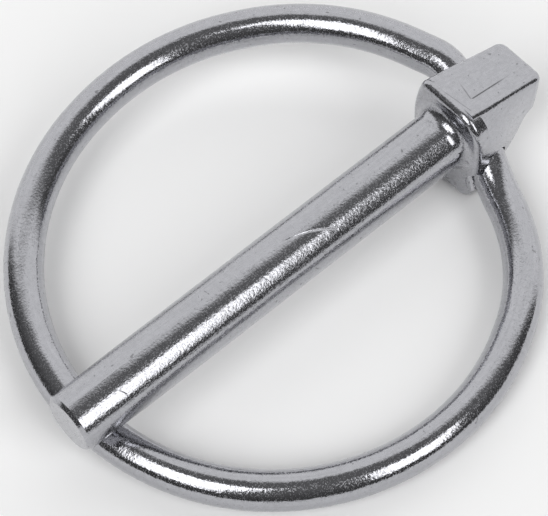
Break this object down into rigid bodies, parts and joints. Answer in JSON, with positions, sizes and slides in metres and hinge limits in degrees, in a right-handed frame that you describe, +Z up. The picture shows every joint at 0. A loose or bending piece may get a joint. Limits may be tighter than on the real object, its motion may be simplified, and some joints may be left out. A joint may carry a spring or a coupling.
{
  "type": "lynch pin",
  "caption": "Round steel pin with a tabbed forged head and a hinged spring ring that snaps round the shank to keep it in a cross hole.",
  "frame": {"origin": "on the shank's axis, at the end of the straight wall next to the head's root curve", "axes": "+X along the shank towards the head's tab, +Z up from the side that the pin lies on"},
  "size_m": [0.0557, 0.0508, 0.013],
  "materials": {
    "plated_steel": "bright zinc plate"
  },
  "bodies": {
    "pin": {"pin": "plated_steel"},
    "ring": {"spring_ring": "plated_steel"}
  },
  "joints": [
    {"name": "ring_swing", "type": "hinge", "parent": "pin", "child": "ring", "pos_m": [0.005, 0, -0.0018], "axis": [-0.3126, -0.8588, -0.4059], "range_deg": [0, 180]}
  ]
}
